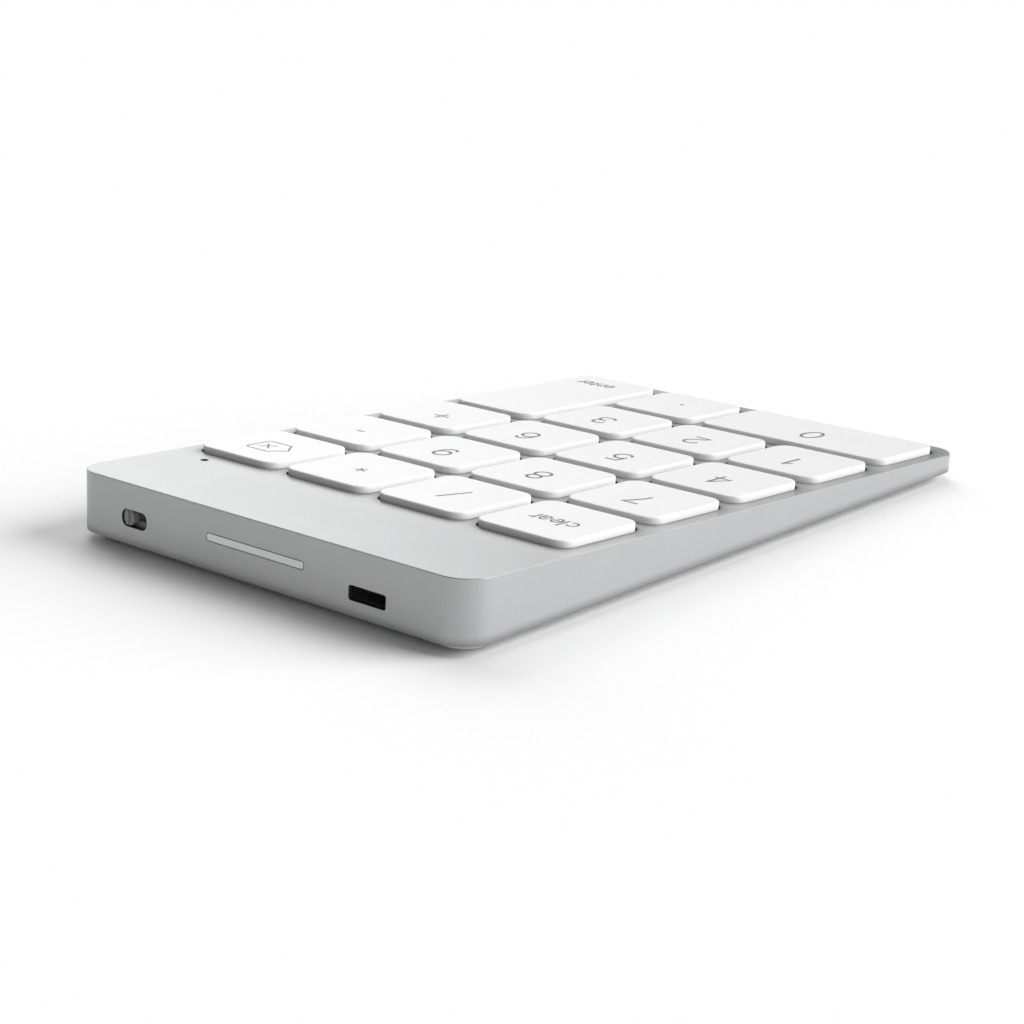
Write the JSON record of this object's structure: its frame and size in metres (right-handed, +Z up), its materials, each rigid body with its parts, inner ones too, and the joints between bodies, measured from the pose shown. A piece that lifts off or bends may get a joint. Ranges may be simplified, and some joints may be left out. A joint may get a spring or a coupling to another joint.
{
  "type": "numeric keypad",
  "caption": "Slim wedge-shaped wireless numeric keypad: aluminium housing, low white scissor keys, slide power switch, antenna window and charging socket in the back wall.",
  "frame": {"origin": "middle of the footprint, on the desk surface under the feet", "axes": "+X to the user's right, +Y from the user's edge to the thick back edge, +Z up"},
  "size_m": [0.079, 0.1176, 0.0106],
  "materials": {
    "anodised_aluminium": "fine bead blasted, clear anodised",
    "white_keys": "satin moulded white, grey printed legends",
    "silver_cover": "fine moulded texture, silver grey",
    "grey_rubber": "matt silicone rubber",
    "steel_sheet": "rolled stainless sheet",
    "membrane_film": "clear polyester film with printed tracks",
    "silicone": "translucent white silicone",
    "scissor_plastic": "natural white engineering plastic",
    "window_plastic": "pale grey radio window plastic",
    "switch_knob_plastic": "grey satin plastic",
    "black_plastic": "black glass filled plastic",
    "smoked_light_pipe": "smoked clear acrylic",
    "lamp_plastic": "milky lens",
    "board_green": "green solder mask with tinned pads",
    "connector_ivory": "ivory moulded",
    "battery_foil": "laminated aluminium pouch",
    "lead_insulation": "silicone insulation, one red and one black",
    "screw_steel": "nickel plated steel",
    "spring_wire": "drawn spring steel wire"
  },
  "bodies": {
    "root": {"scissor_clear": "scissor_plastic", "scissor_divide": "scissor_plastic", "scissor_multiply": "scissor_plastic", "scissor_backspace": "scissor_plastic", "scissor_7": "scissor_plastic", "scissor_8": "scissor_plastic", "scissor_9": "scissor_plastic", "scissor_minus": "scissor_plastic", "scissor_4": "scissor_plastic", "scissor_5": "scissor_plastic", "scissor_6": "scissor_plastic", "scissor_plus": "scissor_plastic", "scissor_1": "scissor_plastic", "scissor_2": "scissor_plastic", "scissor_3": "scissor_plastic", "scissor_enter": "scissor_plastic", "scissor_0": "scissor_plastic", "scissor_point": "scissor_plastic", "top_housing": "anodised_aluminium", "bottom_cover": "silver_cover", "rubber_feet": "grey_rubber", "backplate": "steel_sheet", "membrane": "membrane_film", "rubber_domes": "silicone", "antenna_window": "window_plastic", "power_switch_body": "black_plastic", "socket_shell": "steel_sheet", "socket_tongue": "black_plastic", "led_light_pipe": "smoked_light_pipe", "status_led": "lamp_plastic", "main_board": "board_green", "membrane_connector": "connector_ivory", "radio_chip": "black_plastic", "charger_chip": "black_plastic", "battery_cell": "battery_foil", "battery_leads": "lead_insulation", "backplate_screws": "screw_steel", "board_screws": "screw_steel", "cover_screws": "screw_steel"},
    "key_clear_cap": {"key_clear": "white_keys"},
    "key_divide_cap": {"key_divide": "white_keys"},
    "key_multiply_cap": {"key_multiply": "white_keys"},
    "key_backspace_cap": {"key_backspace": "white_keys"},
    "key_7_cap": {"key_7": "white_keys"},
    "key_8_cap": {"key_8": "white_keys"},
    "key_9_cap": {"key_9": "white_keys"},
    "key_minus_cap": {"key_minus": "white_keys"},
    "key_4_cap": {"key_4": "white_keys"},
    "key_5_cap": {"key_5": "white_keys"},
    "key_6_cap": {"key_6": "white_keys"},
    "key_plus_cap": {"key_plus": "white_keys"},
    "key_1_cap": {"key_1": "white_keys"},
    "key_2_cap": {"key_2": "white_keys"},
    "key_3_cap": {"key_3": "white_keys"},
    "key_enter_cap": {"key_enter": "white_keys"},
    "key_0_cap": {"key_0": "white_keys"},
    "key_point_cap": {"key_point": "white_keys"},
    "switch_slider": {"power_switch_knob": "switch_knob_plastic"},
    "zero_wire": {"zero_stabilizer": "spring_wire"},
    "enter_wire": {"enter_stabilizer": "spring_wire"}
  },
  "joints": [
    {"name": "key_clear_press", "type": "slide", "parent": "root", "child": "key_clear_cap", "axis": [0, 0.0537, -0.9986], "range_m": [0, 0.0011], "stiffness_N_per_m": 300, "springref_m": -0.0005, "deforming": ["scissor_clear", "rubber_domes"]},
    {"name": "key_divide_press", "type": "slide", "parent": "root", "child": "key_divide_cap", "axis": [0, 0.0537, -0.9986], "range_m": [0, 0.0011], "stiffness_N_per_m": 300, "springref_m": -0.0005, "deforming": ["scissor_divide", "rubber_domes"]},
    {"name": "key_multiply_press", "type": "slide", "parent": "root", "child": "key_multiply_cap", "axis": [0, 0.0537, -0.9986], "range_m": [0, 0.0011], "stiffness_N_per_m": 300, "springref_m": -0.0005, "deforming": ["scissor_multiply", "rubber_domes"]},
    {"name": "key_backspace_press", "type": "slide", "parent": "root", "child": "key_backspace_cap", "axis": [0, 0.0537, -0.9986], "range_m": [0, 0.0011], "stiffness_N_per_m": 300, "springref_m": -0.0005, "deforming": ["scissor_backspace", "rubber_domes"]},
    {"name": "key_7_press", "type": "slide", "parent": "root", "child": "key_7_cap", "axis": [0, 0.0537, -0.9986], "range_m": [0, 0.0011], "stiffness_N_per_m": 300, "springref_m": -0.0005, "deforming": ["scissor_7", "rubber_domes"]},
    {"name": "key_8_press", "type": "slide", "parent": "root", "child": "key_8_cap", "axis": [0, 0.0537, -0.9986], "range_m": [0, 0.0011], "stiffness_N_per_m": 300, "springref_m": -0.0005, "deforming": ["scissor_8", "rubber_domes"]},
    {"name": "key_9_press", "type": "slide", "parent": "root", "child": "key_9_cap", "axis": [0, 0.0537, -0.9986], "range_m": [0, 0.0011], "stiffness_N_per_m": 300, "springref_m": -0.0005, "deforming": ["scissor_9", "rubber_domes"]},
    {"name": "key_minus_press", "type": "slide", "parent": "root", "child": "key_minus_cap", "axis": [0, 0.0537, -0.9986], "range_m": [0, 0.0011], "stiffness_N_per_m": 300, "springref_m": -0.0005, "deforming": ["scissor_minus", "rubber_domes"]},
    {"name": "key_4_press", "type": "slide", "parent": "root", "child": "key_4_cap", "axis": [0, 0.0537, -0.9986], "range_m": [0, 0.0011], "stiffness_N_per_m": 300, "springref_m": -0.0005, "deforming": ["scissor_4", "rubber_domes"]},
    {"name": "key_5_press", "type": "slide", "parent": "root", "child": "key_5_cap", "axis": [0, 0.0537, -0.9986], "range_m": [0, 0.0011], "stiffness_N_per_m": 300, "springref_m": -0.0005, "deforming": ["scissor_5", "rubber_domes"]},
    {"name": "key_6_press", "type": "slide", "parent": "root", "child": "key_6_cap", "axis": [0, 0.0537, -0.9986], "range_m": [0, 0.0011], "stiffness_N_per_m": 300, "springref_m": -0.0005, "deforming": ["scissor_6", "rubber_domes"]},
    {"name": "key_plus_press", "type": "slide", "parent": "root", "child": "key_plus_cap", "axis": [0, 0.0537, -0.9986], "range_m": [0, 0.0011], "stiffness_N_per_m": 300, "springref_m": -0.0005, "deforming": ["scissor_plus", "rubber_domes"]},
    {"name": "key_1_press", "type": "slide", "parent": "root", "child": "key_1_cap", "axis": [0, 0.0537, -0.9986], "range_m": [0, 0.0011], "stiffness_N_per_m": 300, "springref_m": -0.0005, "deforming": ["scissor_1", "rubber_domes"]},
    {"name": "key_2_press", "type": "slide", "parent": "root", "child": "key_2_cap", "axis": [0, 0.0537, -0.9986], "range_m": [0, 0.0011], "stiffness_N_per_m": 300, "springref_m": -0.0005, "deforming": ["scissor_2", "rubber_domes"]},
    {"name": "key_3_press", "type": "slide", "parent": "root", "child": "key_3_cap", "axis": [0, 0.0537, -0.9986], "range_m": [0, 0.0011], "stiffness_N_per_m": 300, "springref_m": -0.0005, "deforming": ["scissor_3", "rubber_domes"]},
    {"name": "key_enter_press", "type": "slide", "parent": "root", "child": "key_enter_cap", "axis": [0, 0.0537, -0.9986], "range_m": [0, 0.0011], "stiffness_N_per_m": 300, "springref_m": -0.0005, "deforming": ["scissor_enter", "rubber_domes"]},
    {"name": "key_0_press", "type": "slide", "parent": "root", "child": "key_0_cap", "axis": [0, 0.0537, -0.9986], "range_m": [0, 0.0011], "stiffness_N_per_m": 300, "springref_m": -0.0005, "deforming": ["scissor_0", "rubber_domes"]},
    {"name": "key_point_press", "type": "slide", "parent": "root", "child": "key_point_cap", "axis": [0, 0.0537, -0.9986], "range_m": [0, 0.0011], "stiffness_N_per_m": 300, "springref_m": -0.0005, "deforming": ["scissor_point", "rubber_domes"]},
    {"name": "power_switch_slide", "type": "slide", "parent": "root", "child": "switch_slider", "axis": [-1, 0, 0], "range_m": [0, 0.003]},
    {"name": "zero_stabilizer_swing", "type": "hinge", "parent": "root", "child": "zero_wire", "pos_m": [-0.019, -0.0476, 0.00334], "axis": [1, 0, 0], "range_deg": [0, 10.54]},
    {"name": "enter_stabilizer_swing", "type": "hinge", "parent": "root", "child": "enter_wire", "pos_m": [0.02775, -0.03751, 0.00389], "axis": [0, -0.9986, -0.0537], "range_deg": [0, 10.54]}
  ],
  "couplings": [
    {"joint": "zero_stabilizer_swing", "follows": "key_0_press", "rad_per_m": 166.99},
    {"joint": "enter_stabilizer_swing", "follows": "key_enter_press", "rad_per_m": 166.99}
  ]
}
